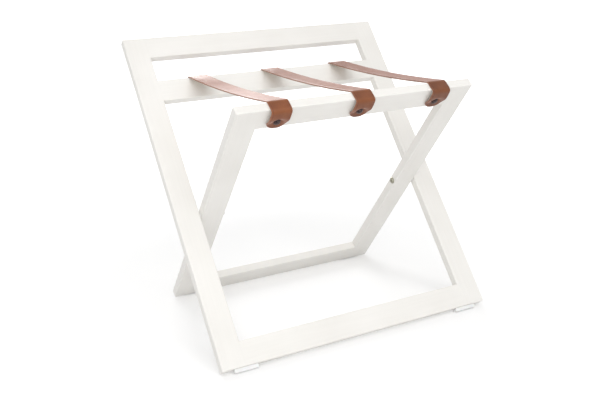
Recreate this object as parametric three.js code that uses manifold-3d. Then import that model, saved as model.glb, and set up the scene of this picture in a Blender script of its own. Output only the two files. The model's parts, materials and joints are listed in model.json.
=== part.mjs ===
// Folding luggage rack: two crossed frames of painted timber, turning on a pair of bolts,
// with three leather straps that carry the luggage and stop the frames from opening further.
// Millimetres. +X to the right, +Y to the back, +Z up, origin on the floor under the rack's middle.
import * as THREE from 'three';
import { mergeVertices } from 'three/addons/utils/BufferGeometryUtils.js';
import Module from 'manifold-3d';

const wasm = await Module();
wasm.setup();

// Frames
const rackWidth = 600;
const backAbovePivot = 404;
const backBelowPivot = 306;
const frontAbovePivot = 305;
const frontBelowPivot = 306;
const openAngle = THREE.MathUtils.degToRad(78);
const stileWidth = 48;
const legWidth = 48;
const railWidth = 48;
const timberThickness = 18;
const edgeRadius = 2;
const handSlot = 55;
const sideGap = 2.5;

// Clearances
const seatGap = 0.3;
const glueLine = 0.3;

// Dowels in the rail ends
const dowelRadius = 4;
const dowelLength = 40;
const dowelSpacing = 24;

// Straps
const strapWidth = 40;
const strapThickness = 2.8;
const strapInset = 63.5;
const strapShift = 2.5;
const strapTail = 47;
const strapSag = 5.5;
const strapEdge = 0.5;
const tongueRadius = 18;
const noseStandOff = 6;
const noseDrop = 11;
const noseLift = 4.5;
const noseReach = 20;

// Strap studs
const studDrop = 30;
const studHeadRadius = 6.8;
const studHeadHeight = 3.5;
const studRim = 0.8;
const studShankRadius = 2;
const studShankLength = 15;

// Pivots
const boltRadius = 3;
const boltHeadRadius = 7;
const boltHeadHeight = 3;
const boltHeadEdge = 0.8;
const boltGrip = 18;
const socketRadius = 2.6;
const socketDepth = 2;
const bushWall = 1.8;
const insertWall = 1.8;
const insertLength = 20;
const washerRadius = 8;

// Glides under the bottom edges
const glideLength = 48;
const glideDepth = 12;
const glideThickness = 7;
const glideSoleRun = 4.2;
const glideEdge = 0.6;
const pegRadius = 2.5;
const pegLength = 5;
const pegSpacing = 27;

// Fineness of round stretches and of joined vertices
const edgeSteps = 3;
const bendSteps = 8;
const tongueSteps = 8;
const roundSides = 16;
const domeSteps = 5;
const hexagonSides = 6;
const mergeDistance = 1e-4;

// Sizes that follow
const backInner = rackWidth - 2 * stileWidth;
const frontWidth = backInner - 2 * sideGap;
const frontInner = frontWidth - 2 * legWidth;
const strapRailTop = backAbovePivot - railWidth - handSlot;
const strapPitch = backInner / 2 - strapInset - strapWidth / 2;
const halfTimber = timberThickness / 2;
const pivotHole = boltRadius + seatGap;

// The lean of each frame follows from the opening angle and from both frames' soles lying on the floor.
const soleLine = glideSoleRun - glideDepth / 2;
const backFoot = backBelowPivot + seatGap + glideThickness;
const frontFoot = frontBelowPivot + seatGap + glideThickness;
const backReach = Math.hypot(backFoot, soleLine);
const frontReach = Math.hypot(frontFoot, soleLine);
const backTurn = Math.atan2(soleLine, backFoot);
const wholeTurn = openAngle + backTurn + Math.atan2(soleLine, frontFoot);
const backLean = Math.atan2(
  backReach - frontReach * Math.cos(wholeTurn),
  frontReach * Math.sin(wholeTurn),
) - backTurn;
const frontLean = openAngle - backLean;

const paint = { color: 0xf3f0e9, roughness: 0.45, metalness: 0 };
const leather = { color: 0x9a6244, roughness: 0.4, metalness: 0 };
const bronze = { color: 0x4a3a35, roughness: 0.35, metalness: 0.9 };
const plainSteel = { color: 0x99968a, roughness: 0.4, metalness: 0.9 };
const brass = { color: 0xb08d4a, roughness: 0.4, metalness: 1 };
const nylon = { color: 0xefefeb, roughness: 0.5, metalness: 0 };
const beech = { color: 0xd2b48c, roughness: 0.7, metalness: 0 };

// Closed solid from a geometry, for cutting and joining
function solid(geometry) {
  const bare = geometry.clone();
  bare.deleteAttribute('normal');
  bare.deleteAttribute('uv');
  const merged = mergeVertices(bare, mergeDistance);
  return new wasm.Manifold(new wasm.Mesh({
    numProp: 3,
    vertProperties: new Float32Array(merged.attributes.position.array),
    triVerts: new Uint32Array(merged.index.array),
  }));
}

// Named mesh from a closed solid
function piece(name, shape, finish) {
  const result = shape.getMesh();
  const geometry = new THREE.BufferGeometry();
  geometry.setAttribute('position', new THREE.BufferAttribute(result.vertProperties, result.numProp));
  geometry.setIndex(new THREE.BufferAttribute(result.triVerts, 1));
  geometry.computeVertexNormals();
  const mesh = new THREE.Mesh(geometry, new THREE.MeshStandardMaterial(finish));
  mesh.name = name;
  return mesh;
}

// Box between two corners
function block(low, high) {
  const size = new THREE.Vector3().subVectors(high, low);
  const middle = new THREE.Vector3().addVectors(low, high).multiplyScalar(0.5);
  return solid(new THREE.BoxGeometry(size.x, size.y, size.z).translate(middle.x, middle.y, middle.z));
}

// Round bar along X from one end to the other
function barAlongX(radius, from, to, y, z) {
  const bar = new THREE.CylinderGeometry(radius, radius, Math.abs(to - from), roundSides);
  return solid(bar.rotateZ(Math.PI / 2).translate((from + to) / 2, y, z));
}

// Round bar along Y from one end to the other
function barAlongY(radius, from, to, x, z) {
  const bar = new THREE.CylinderGeometry(radius, radius, Math.abs(to - from), roundSides);
  return solid(bar.translate(x, (from + to) / 2, z));
}

// Rectangle as a closed path
function rectangle(path, left, right, low, high) {
  path.moveTo(left, low);
  path.lineTo(right, low);
  path.lineTo(right, high);
  path.lineTo(left, high);
  path.closePath();
  return path;
}

// A frame's blank, lying in its own XY plane with the pivot at the origin and all edges rounded
function frameBlank(width, low, high, openings) {
  const outline = rectangle(new THREE.Shape(), -width / 2, width / 2, low, high);
  for (const [left, right, bottom, top] of openings) {
    outline.holes.push(rectangle(new THREE.Path(), left, right, bottom, top));
  }
  const blank = new THREE.ExtrudeGeometry(outline, {
    depth: timberThickness - 2 * edgeRadius,
    bevelEnabled: true,
    bevelThickness: edgeRadius,
    bevelSize: edgeRadius,
    bevelOffset: -edgeRadius,
    bevelSegments: edgeSteps,
  });
  return solid(blank.translate(0, 0, edgeRadius - halfTimber));
}

// Names and places of the two dowels of every rail end
function dowelPlaces(inner, rails) {
  const places = [];
  for (const rail of rails) {
    for (const side of [-1, 1]) {
      for (const step of [-1, 1]) {
        places.push({
          name: `${rail.name}_dowel_${side < 0 ? 'left' : 'right'}_${step < 0 ? 'lower' : 'upper'}`,
          x: side * inner / 2,
          y: rail.middle + step * dowelSpacing / 2,
        });
      }
    }
  }
  return places;
}

function dowelHoles(places) {
  const half = dowelLength / 2 + seatGap;
  const bars = places.map(({ x, y }) => barAlongX(dowelRadius + seatGap, x - half, x + half, y, 0));
  return wasm.Manifold.union(bars);
}

// Middles of the glides under one frame's bottom edge, each across a joint of upright and rail
function glideMiddles(inner) {
  return [-1, 1].map((side) => side * inner / 2);
}

function pegHoles(inner, bottom) {
  const bars = [];
  for (const middle of glideMiddles(inner)) {
    for (const step of [-1, 1]) {
      const x = middle + step * pegSpacing / 2;
      bars.push(barAlongY(pegRadius + seatGap, bottom - railWidth / 2, bottom + pegLength + seatGap, x, 0));
    }
  }
  return wasm.Manifold.union(bars);
}

// Members of one frame: two full-length uprights with the rails between them
function addMembers(group, blank, width, inner, low, high, uprightNames, rails, uprightCuts) {
  const places = dowelPlaces(inner, rails);
  const cuts = wasm.Manifold.union([dowelHoles(places), pegHoles(inner, low), uprightCuts]);
  const bored = blank.subtract(cuts);
  const deep = timberThickness;
  const outside = width / 2 + stileWidth;
  uprightNames.forEach((name, index) => {
    const side = index === 0 ? -1 : 1;
    const near = Math.min(side * inner / 2, side * outside);
    const far = Math.max(side * inner / 2, side * outside);
    const region = block(
      new THREE.Vector3(near, low - deep, -deep),
      new THREE.Vector3(far, high + deep, deep),
    );
    group.add(piece(name, bored.intersect(region), paint));
  });
  for (const rail of rails) {
    const reach = inner / 2 - glueLine;
    const region = block(
      new THREE.Vector3(-reach, rail.middle - railWidth / 2 - edgeRadius, -deep),
      new THREE.Vector3(reach, rail.middle + railWidth / 2 + edgeRadius, deep),
    );
    group.add(piece(rail.name, bored.intersect(region), paint));
  }
  for (const { name, x, y } of places) {
    const bar = barAlongX(dowelRadius, x - dowelLength / 2, x + dowelLength / 2, y, 0);
    group.add(piece(name, bar, beech));
  }
}

// Glide with a sole cut level with the floor and two pegs pressed into the timber
function glide(lean, downSide) {
  const half = glideDepth / 2;
  const cutRise = glideSoleRun * Math.tan(lean);
  const profile = new THREE.Shape();
  profile.moveTo(-half, 0);
  profile.lineTo(-half, cutRise - glideThickness);
  profile.lineTo(soleLine, -glideThickness);
  profile.lineTo(half, -glideThickness);
  profile.lineTo(half, 0);
  profile.closePath();
  const pad = new THREE.ExtrudeGeometry(profile, {
    depth: glideLength - 2 * glideEdge,
    bevelEnabled: true,
    bevelThickness: glideEdge,
    bevelSize: glideEdge,
    bevelOffset: -glideEdge,
    bevelSegments: 1,
  });
  pad.translate(0, 0, glideEdge - glideLength / 2);
  pad.rotateY(Math.PI / 2 * downSide);
  const pegs = [-1, 1].map((step) => (
    barAlongY(pegRadius, -glideThickness / 2, pegLength + seatGap, step * pegSpacing / 2, 0)
  ));
  return wasm.Manifold.union([solid(pad), ...pegs]);
}

function addGlides(group, name, inner, bottom, lean, downSide) {
  const shape = glide(lean, downSide);
  glideMiddles(inner).forEach((middle, index) => {
    const mesh = piece(`${name}_${index === 0 ? 'left' : 'right'}_glide`, shape, nylon);
    mesh.position.set(middle, bottom - seatGap, 0);
    group.add(mesh);
  });
}

// Revolved solid about its own Y axis, from (radius, height) points that start and end on the axis
function turned(points) {
  const profile = points.map(([radius, height]) => new THREE.Vector2(radius, height));
  return solid(new THREE.LatheGeometry(profile, roundSides));
}

// Points of a dome from its rim to its crown
function dome(radius, base, height) {
  const points = [];
  for (let step = 0; step < domeSteps; step += 1) {
    const angle = step / domeSteps * Math.PI / 2;
    points.push([radius * Math.cos(angle), base + height * Math.sin(angle)]);
  }
  points.push([0, base + height]);
  return points;
}

// Stud: domed head over a plain shank, standing along +Y with the head's underside at the origin
function stud() {
  return turned([
    [0, -studShankLength],
    [studShankRadius, studShankRadius - studShankLength],
    [studShankRadius, 0],
    [studHeadRadius, 0],
    ...dome(studHeadRadius, studRim, studHeadHeight - studRim),
  ]);
}

// Pivot bolt along +Y: low domed head with a hexagon socket, its underside at the origin
function pivotBolt(length) {
  const blank = turned([
    [0, -length],
    [boltRadius, -length],
    [boltRadius, 0],
    [boltHeadRadius, 0],
    ...dome(boltHeadRadius, boltHeadEdge, boltHeadHeight - boltHeadEdge),
  ]);
  const socket = new THREE.CylinderGeometry(socketRadius, socketRadius, 2 * socketDepth, hexagonSides);
  return blank.subtract(solid(socket.translate(0, boltHeadHeight, 0)));
}

// Plain ring along X
function ring(outer, inner, from, to) {
  const low = Math.min(from, to);
  const high = Math.max(from, to);
  return barAlongX(outer, low, high, 0, 0).subtract(barAlongX(inner, low - outer, high + outer, 0, 0));
}

// Straps: places of the rails in the side view, as height along a frame and distance out of its face
const backUp = new THREE.Vector2(Math.sin(backLean), Math.cos(backLean));
const backOut = new THREE.Vector2(Math.cos(backLean), -Math.sin(backLean));
const frontUp = new THREE.Vector2(-Math.sin(frontLean), Math.cos(frontLean));
const frontOut = new THREE.Vector2(-Math.cos(frontLean), -Math.sin(frontLean));

function sideView(up, out, height, distance) {
  return up.clone().multiplyScalar(height).addScaledVector(out, distance);
}

// Handle length that makes a cubic curve follow a circle of radius 1 through an angle
function roundPull(angle) {
  return 4 / 3 * Math.tan(angle / 4);
}

// Middle line of one strap end: bent over the rail's inner corner, out over its top and down to the tip
function strapEnd(up, out, top, heading, lift) {
  const bend = edgeRadius + seatGap + strapThickness / 2;
  const flat = halfTimber + seatGap + strapThickness / 2;
  const proud = halfTimber + noseStandOff + strapThickness / 2;
  const place = (height, distance) => sideView(up, out, top + height, distance);
  const corner = place(-edgeRadius, edgeRadius - halfTimber);
  const start = corner.clone().addScaledVector(lift, bend);
  const shoulder = corner.clone().addScaledVector(up, bend);
  const pull = roundPull(heading.angleTo(out)) * bend;
  const crest = place(-noseDrop, proud);
  const seat = place(studHeadRadius - studDrop, flat);
  const tip = place(-strapTail, flat);
  const sway = (studDrop - studHeadRadius - noseDrop) / 2;
  return [
    new THREE.CubicBezierCurve(
      start,
      start.clone().addScaledVector(heading, pull),
      shoulder.clone().addScaledVector(out, -pull),
      shoulder,
    ),
    new THREE.CubicBezierCurve(
      shoulder,
      shoulder.clone().addScaledVector(out, noseReach),
      place(noseLift, proud),
      crest,
    ),
    new THREE.CubicBezierCurve(
      crest,
      crest.clone().addScaledVector(up, -sway),
      seat.clone().addScaledVector(up, sway),
      seat,
    ),
    new THREE.LineCurve(seat, tip),
  ];
}

// Closed outline of a band of even thickness along a chain of curves
function bandOutline(curves, thickness) {
  const upper = [];
  const lower = [];
  const addPair = (curve, share) => {
    const tangent = curve.getTangent(share);
    const across = new THREE.Vector2(-tangent.y, tangent.x).multiplyScalar(thickness / 2);
    upper.push(curve.getPoint(share).add(across));
    lower.push(curve.getPoint(share).sub(across));
  };
  for (const curve of curves) {
    const steps = curve.isLineCurve ? 1 : bendSteps;
    for (let step = 0; step < steps; step += 1) {
      addPair(curve, step / steps);
    }
  }
  addPair(curves[curves.length - 1], 1);
  return new THREE.Shape([...upper, ...lower.reverse()]);
}

// Same chain of curves, run the other way
function reversed(curves) {
  return curves.slice().reverse().map((curve) => (
    curve.isLineCurve
      ? new THREE.LineCurve(curve.v2, curve.v1)
      : new THREE.CubicBezierCurve(curve.v3, curve.v2, curve.v1, curve.v0)
  ));
}

// What the round tongue leaves off a square strap end, in a frame's own axes
function tongueCut(top, outwards) {
  const half = strapWidth / 2;
  const tip = top - strapTail;
  const spare = strapThickness;
  const shape = new THREE.Shape();
  shape.moveTo(-half - spare, tip - spare);
  shape.lineTo(half + spare, tip - spare);
  shape.lineTo(half + spare, tip + tongueRadius);
  shape.lineTo(half, tip + tongueRadius);
  shape.absarc(half - tongueRadius, tip + tongueRadius, tongueRadius, 0, -Math.PI / 2, true);
  shape.absarc(tongueRadius - half, tip + tongueRadius, tongueRadius, -Math.PI / 2, -Math.PI, true);
  shape.lineTo(-half - spare, tip + tongueRadius);
  shape.closePath();
  const cut = new THREE.ExtrudeGeometry(shape, {
    depth: 2 * spare,
    bevelEnabled: false,
    curveSegments: tongueSteps,
  });
  const base = halfTimber + seatGap - spare / 2;
  return cut.translate(0, 0, outwards > 0 ? base : -base - 2 * spare);
}

// One strap about its own middle, with round tongues and stud holes
function strap(backPlace, frontPlace) {
  const inner = edgeRadius - halfTimber;
  const backCorner = sideView(backUp, backOut, strapRailTop - edgeRadius, inner);
  const frontCorner = sideView(frontUp, frontOut, frontAbovePivot - edgeRadius, inner);
  const chord = new THREE.Vector2().subVectors(frontCorner, backCorner);
  const climb = 4 * strapSag / chord.length();
  chord.normalize();
  const lift = new THREE.Vector2(chord.y, -chord.x);
  const backHeading = chord.clone().negate().addScaledVector(lift, climb).normalize();
  const frontHeading = chord.clone().addScaledVector(lift, climb).normalize();
  const backLift = new THREE.Vector2(-backHeading.y, backHeading.x);
  const frontLift = new THREE.Vector2(frontHeading.y, -frontHeading.x);
  const backEnd = strapEnd(backUp, backOut, strapRailTop, backHeading, backLift);
  const frontEnd = strapEnd(frontUp, frontOut, frontAbovePivot, frontHeading, frontLift);
  const backStart = backEnd[0].v0;
  const frontStart = frontEnd[0].v0;
  const dip = climb * backStart.distanceTo(frontStart) / 2;
  const lowest = backStart.clone().lerp(frontStart, 0.5).addScaledVector(lift, -dip);
  const span = new THREE.QuadraticBezierCurve(backStart, lowest, frontStart);
  const route = [...reversed(backEnd), span, ...frontEnd];
  const band = new THREE.ExtrudeGeometry(bandOutline(route, strapThickness), {
    depth: strapWidth - 2 * strapEdge,
    bevelEnabled: true,
    bevelThickness: strapEdge,
    bevelSize: strapEdge,
    bevelOffset: -strapEdge,
    bevelSegments: 1,
  });
  band.translate(0, 0, strapEdge - strapWidth / 2);
  band.applyMatrix4(new THREE.Matrix4().makeBasis(
    new THREE.Vector3(0, 1, 0),
    new THREE.Vector3(0, 0, 1),
    new THREE.Vector3(1, 0, 0),
  ));
  const hole = (height) => new THREE.CylinderGeometry(
    studShankRadius + seatGap,
    studShankRadius + seatGap,
    2 * timberThickness,
    roundSides,
  ).rotateX(Math.PI / 2).translate(0, height - studDrop, 0);
  const cuts = [
    tongueCut(strapRailTop, -1).applyMatrix4(backPlace),
    tongueCut(frontAbovePivot, 1).applyMatrix4(frontPlace),
  ];
  const holes = [
    hole(strapRailTop).translate(0, 0, -timberThickness - halfTimber).applyMatrix4(backPlace),
    hole(frontAbovePivot).translate(0, 0, timberThickness + halfTimber).applyMatrix4(frontPlace),
  ];
  return solid(band).subtract(wasm.Manifold.union([...cuts, ...holes].map(solid)));
}

// Assembly, first about the pivot line
const rack = new THREE.Group();
const backFrame = new THREE.Group();
const frontFrame = new THREE.Group();
backFrame.rotation.x = Math.PI / 2 - backLean;
frontFrame.rotation.x = Math.PI / 2 + frontLean;
rack.add(backFrame, frontFrame);

const strapNames = ['left', 'middle', 'right'];
const strapMiddles = [-1, 0, 1].map((step) => strapShift + step * strapPitch);

// Shank holes for the studs, drilled into one face of a rail
function studHoles(top, outwards) {
  const deep = studShankLength - strapThickness - seatGap;
  const bars = strapMiddles.map((x) => {
    const bar = new THREE.CylinderGeometry(
      studShankRadius + seatGap,
      studShankRadius + seatGap,
      2 * deep,
      roundSides,
    );
    return solid(bar.rotateX(Math.PI / 2).translate(x, top - studDrop, outwards * halfTimber));
  });
  return wasm.Manifold.union(bars);
}

// Back frame
const insertRadius = pivotHole + insertWall;
const insertSeats = [-1, 1].map((side) => barAlongX(
  insertRadius + seatGap,
  side * (backInner / 2 - insertLength),
  side * (backInner / 2 + insertLength + seatGap),
  0,
  0,
));
const backLow = -backBelowPivot;
const openingLeft = -backInner / 2;
const backRails = [
  { name: 'back_top_rail', middle: backAbovePivot - railWidth / 2 },
  { name: 'back_strap_rail', middle: strapRailTop - railWidth / 2 },
  { name: 'back_bottom_rail', middle: backLow + railWidth / 2 },
];
addMembers(
  backFrame,
  frameBlank(rackWidth, backLow, backAbovePivot, [
    [openingLeft, -openingLeft, strapRailTop, backAbovePivot - railWidth],
    [openingLeft, -openingLeft, backLow + railWidth, strapRailTop - railWidth],
  ]),
  rackWidth,
  backInner,
  backLow,
  backAbovePivot,
  ['back_left_stile', 'back_right_stile'],
  backRails,
  wasm.Manifold.union([...insertSeats, studHoles(strapRailTop, -1)]),
);
addGlides(backFrame, 'back', backInner, backLow, backLean, -1);

// Front frame
const bushRadius = pivotHole + bushWall;
const bushSeats = [-1, 1].map((side) => barAlongX(
  bushRadius + seatGap,
  side * (frontInner / 2 - legWidth),
  side * (frontWidth / 2 + sideGap),
  0,
  0,
));
const frontLow = -frontBelowPivot;
const frontRails = [
  { name: 'front_top_rail', middle: frontAbovePivot - railWidth / 2 },
  { name: 'front_bottom_rail', middle: frontLow + railWidth / 2 },
];
addMembers(
  frontFrame,
  frameBlank(frontWidth, frontLow, frontAbovePivot, [
    [-frontInner / 2, frontInner / 2, frontLow + railWidth, frontAbovePivot - railWidth],
  ]),
  frontWidth,
  frontInner,
  frontLow,
  frontAbovePivot,
  ['front_left_leg', 'front_right_leg'],
  frontRails,
  wasm.Manifold.union([...bushSeats, studHoles(frontAbovePivot, 1)]),
);
addGlides(frontFrame, 'front', frontInner, frontLow, frontLean, 1);

// Pivots: the bolt enters from inside the front frame and is screwed into the back frame's stile
const boltLength = seatGap + legWidth + sideGap + boltGrip;
for (const side of [-1, 1]) {
  const name = side < 0 ? 'left' : 'right';
  const stileFace = side * backInner / 2;
  const legOutside = side * frontWidth / 2;
  const legInside = side * frontInner / 2;
  const bolt = piece(`${name}_pivot_bolt`, pivotBolt(boltLength), plainSteel);
  bolt.rotation.z = side * Math.PI / 2;
  bolt.position.x = legInside - side * seatGap;
  const insert = ring(insertRadius, pivotHole, stileFace, stileFace + side * insertLength);
  const washer = ring(washerRadius, pivotHole, stileFace - side * seatGap, legOutside + side * seatGap);
  const bush = ring(bushRadius, pivotHole, legInside, legOutside);
  backFrame.add(bolt, piece(`${name}_pivot_insert`, insert, brass));
  backFrame.add(piece(`${name}_pivot_washer`, washer, nylon));
  frontFrame.add(piece(`${name}_pivot_bush`, bush, nylon));
}

// Straps and their studs
backFrame.updateMatrix();
frontFrame.updateMatrix();
const strapShape = strap(backFrame.matrix, frontFrame.matrix);
const studShape = stud();
const studLevel = halfTimber + strapThickness + 2 * seatGap;
strapMiddles.forEach((x, index) => {
  const name = strapNames[index];
  const band = piece(`${name}_strap`, strapShape, leather);
  band.position.x = x;
  rack.add(band);
  const rearStud = piece(`${name}_rear_stud`, studShape, bronze);
  rearStud.rotation.x = -Math.PI / 2;
  rearStud.position.set(x, strapRailTop - studDrop, -studLevel);
  backFrame.add(rearStud);
  const frontStud = piece(`${name}_front_stud`, studShape, bronze);
  frontStud.rotation.x = Math.PI / 2;
  frontStud.position.set(x, frontAbovePivot - studDrop, studLevel);
  frontFrame.add(frontStud);
});

// Stand the rack on the floor, with the origin under the middle of its box
const box = new THREE.Box3().setFromObject(rack, true);
const middle = box.getCenter(new THREE.Vector3());
rack.position.set(-middle.x, -middle.y, -box.min.z);
rack.updateMatrixWorld(true);

export default rack;
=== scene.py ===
import json
import math
from functools import lru_cache

import bmesh
import bpy
import numpy as np
from mathutils import Matrix, Vector

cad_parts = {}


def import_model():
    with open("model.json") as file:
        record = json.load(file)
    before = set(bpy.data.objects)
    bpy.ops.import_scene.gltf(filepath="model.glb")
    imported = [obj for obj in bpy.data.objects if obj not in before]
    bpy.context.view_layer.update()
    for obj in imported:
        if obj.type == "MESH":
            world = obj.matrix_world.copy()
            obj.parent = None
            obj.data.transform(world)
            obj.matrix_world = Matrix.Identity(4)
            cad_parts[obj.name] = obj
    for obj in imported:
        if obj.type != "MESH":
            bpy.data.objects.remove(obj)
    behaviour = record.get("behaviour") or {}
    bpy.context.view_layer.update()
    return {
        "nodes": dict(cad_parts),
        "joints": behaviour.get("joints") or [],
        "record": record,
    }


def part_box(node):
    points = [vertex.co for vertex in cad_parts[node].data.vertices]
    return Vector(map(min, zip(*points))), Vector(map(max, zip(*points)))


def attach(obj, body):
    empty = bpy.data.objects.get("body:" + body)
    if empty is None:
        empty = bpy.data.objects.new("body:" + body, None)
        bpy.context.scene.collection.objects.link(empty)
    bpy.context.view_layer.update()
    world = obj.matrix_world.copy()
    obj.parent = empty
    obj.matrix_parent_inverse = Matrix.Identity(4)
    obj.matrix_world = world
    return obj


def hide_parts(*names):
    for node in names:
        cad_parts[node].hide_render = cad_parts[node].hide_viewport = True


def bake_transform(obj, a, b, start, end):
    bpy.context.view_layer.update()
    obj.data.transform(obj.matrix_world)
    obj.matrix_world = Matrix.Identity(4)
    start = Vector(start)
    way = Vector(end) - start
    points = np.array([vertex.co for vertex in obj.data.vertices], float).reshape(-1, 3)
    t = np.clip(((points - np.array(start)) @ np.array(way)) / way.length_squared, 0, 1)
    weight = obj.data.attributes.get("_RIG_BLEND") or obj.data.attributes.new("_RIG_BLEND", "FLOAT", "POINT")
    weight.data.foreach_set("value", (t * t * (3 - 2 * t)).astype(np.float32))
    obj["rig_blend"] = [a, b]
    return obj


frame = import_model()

NODES = frame["nodes"]
FOLD = frame["joints"][0]
PIVOT = Vector(FOLD["pos_m"])
FOLD_TRAVEL = math.radians(FOLD["range_deg"][1])
MM = 0.001

# Camera: direction, tilt, lens and place seen from the pivot
CAMERA_AZIMUTH = math.radians(-27.97)
CAMERA_ELEVATION = math.radians(17.23)
CAMERA_ROLL = math.radians(-1.47)
CAMERA_OFFSET = (-24.5 * MM, -10.5 * MM, 1713.7 * MM)
CAMERA_LENS = 49.5
SENSOR_WIDTH = 36.0

# Frames
FRAME_LEAN = math.radians(39)
EDGE_RADIUS = 2 * MM
EDGE_SEGMENTS = 4
JOINT_SEAM = 0.02 * MM
SMOOTH_ANGLE = math.radians(35)
CORNER_ANGLE = math.radians(60)
CUT_TOLERANCE = 1e-7

# Sides of a cell in a frame's grid: start corner, end corner, step to the cell beyond
CELL_SIDES = (
    ((0, 0), (1, 0), (0, -1)),
    ((1, 0), (1, 1), (1, 0)),
    ((1, 1), (0, 1), (0, 1)),
    ((0, 1), (0, 0), (-1, 0)),
)

# Straps, as the solids have them
STRAP_WIDTH = 40 * MM
STRAP_THICKNESS = 2.8 * MM
STRAP_TAIL = 47 * MM
STRAP_SAG = 5.5 * MM
SEAT_GAP = 0.3 * MM
TONGUE_RADIUS = 18 * MM
NOSE_STAND_OFF = 6 * MM
NOSE_DROP = 11 * MM
NOSE_LIFT = 4.5 * MM
NOSE_REACH = 20 * MM
STUD_DROP = 30 * MM
STUD_RADIUS = 6.8 * MM

# Straps in the scene alone: eased folds, shorter rear ends, ends that stand off the rail except under
# the stud, and a creased line along the edges
FOLD_EASE = 1.5 * MM
REAR_TRIM = 2 * MM
LOOSE_SEAT = 39 * MM
DIMPLE_RADIUS = 5.5 * MM
DIMPLE_RUN = 9 * MM
CUP_LIFT = 2 * MM
CUP_PLACE = 22 * MM
CUP_WIDTH = 10 * MM
EDGE_BREAK = 0.9 * MM
CREASE_INSET = 3 * MM
CREASE_WIDTH = 0.45 * MM
CREASE_DEPTH = 0.28 * MM
# Each strap's dye tone; the middle and right straps are made darker as painted shade, for light that falls
# off to the right
STRAP_DYE_AND_SHADE = {"left": 0.95, "middle": 0.86, "right": 0.72}
STRAP_POLISH = {"left": 1.0, "middle": 0.8, "right": 0.0}
POLISH_RUN = 8 * MM
BEND_REACH = 2 * MM
TIGHT_TURN = math.radians(22)

# Strap mesh: distances from the cut edge, then the fineness of columns and rows
RIM_STEPS_MM = (0, 0.12, 0.4, 0.8, 1.3, 1.7, 2.2, 2.6, 2.8, 3.0, 3.2, 3.4, 3.8, 5.0)
RIM_STEPS = [step * MM for step in RIM_STEPS_MM]
INNER_COLUMNS = 12
TONGUE_STATIONS = 14
TAIL_STEP = 1.5 * MM
NOSE_STEP = 1.2 * MM
BEND_STEP = 0.5 * MM
SPAN_STEP = 5 * MM
CURVE_SAMPLES = 200
HEADING_REACH = 0.5 * MM
GRID_STEPS_PER_METRE = 1e7

# Folded straps: layer on each rail's face, then a U turn below the rails
OPEN_ANGLE = math.radians(78)
RAIL_WIDTH = 48 * MM
LOOP_INSET = 7.9 * MM
LOOP_RUN = 9 * MM
FOLD_SAMPLES = 400

# Metal pieces
ROUND_SIDES = 48
STUD_HEIGHT = 3.5 * MM
STUD_SHANK = 2 * MM
STUD_WALL = 0.45 * MM
STUD_RIM = 0.75 * MM
STUD_RIM_INSET = 0.2 * MM
STUD_DOME_RADIUS = 6.1 * MM
STUD_DOME_BASE = 0.95 * MM
BOLT_RADIUS = 3 * MM
BOLT_HEAD_RADIUS = 7 * MM
BOLT_HEAD_EDGE = 0.8 * MM
BOLT_HEAD_HEIGHT = 3 * MM
SOCKET_RADIUS = 2.6 * MM
SOCKET_LAND = 1.25 * SOCKET_RADIUS
SOCKET_DEPTH = 2 * MM
DOME_RINGS = 10

# Paint: darkest and palest tone, fineness of the grain, depth of its relief and of the orange peel
PAINT_TONES = [(0.3, (0.855, 0.835, 0.795)), (0.7, (0.895, 0.878, 0.842))]
GRAIN_ALONG = 6
GRAIN_ACROSS = 220
GRAIN_DEPTH = 0.1 * MM
PEEL_DEPTH = 0.05 * MM

# Leather: colours of the grain side and the flesh side, depths of their relief, and what full polish adds
# to the roughness
GRAIN_TONES = [
    (0.28, (0.182, 0.051, 0.0145)),
    (0.52, (0.236, 0.069, 0.0205)),
    (0.75, (0.285, 0.090, 0.029)),
]
PORE_COLOUR = (0.12, 0.036, 0.014)
STRETCH_COLOUR = (0.42, 0.155, 0.062)
CREASE_COLOUR = (0.13, 0.032, 0.014)
# Cut edge: raw leather paler than the grain, lightened further as painted light so that the edges facing
# away from the lamps stay light
CUT_EDGE_AND_PAINTED_LIGHT_COLOUR = (0.36, 0.16, 0.095)
CUT_EDGE_RUN = 1.6 * MM
# Dark ring round each stud: leather pressed by the cap, darkened further as painted contact shade
STUD_PRESS_AND_SHADE_COLOUR = (0.09, 0.028, 0.014)
STUD_PRESS_AND_SHADE_WIDTH = 3 * MM
SHEEN_TINT = (1.0, 0.6, 0.52, 1)
POLISH_ROUGHNESS = -0.06
PORE_DEPTH = 0.06 * MM
FINE_DEPTH = 0.03 * MM
WRINKLE_DEPTH = 0.25 * MM
FLESH_TONES = [(0.3, (0.43, 0.32, 0.23)), (0.7, (0.56, 0.44, 0.34))]
FIBRE_COLOUR = (0.30, 0.205, 0.14)
FIBRE_DEPTH = 0.25 * MM

# Stage: where the lights aim, and distances between which the floor is lifted to plain white
FRAME_MIDDLE = (0, 0, 0.3)
STRAP_MIDDLE = (0, 0, 0.48)
LIFT_START = 0.5
LIFT_END = 3.0

X_AXIS = Vector((1, 0, 0))
BACK_UP = Vector((0, math.sin(FRAME_LEAN), math.cos(FRAME_LEAN)))
BACK_OUT = Vector((0, -math.cos(FRAME_LEAN), math.sin(FRAME_LEAN)))
FRONT_UP = Vector((0, -math.sin(FRAME_LEAN), math.cos(FRAME_LEAN)))
FRONT_OUT = Vector((0, -math.cos(FRAME_LEAN), -math.sin(FRAME_LEAN)))


# Node helpers

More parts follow.
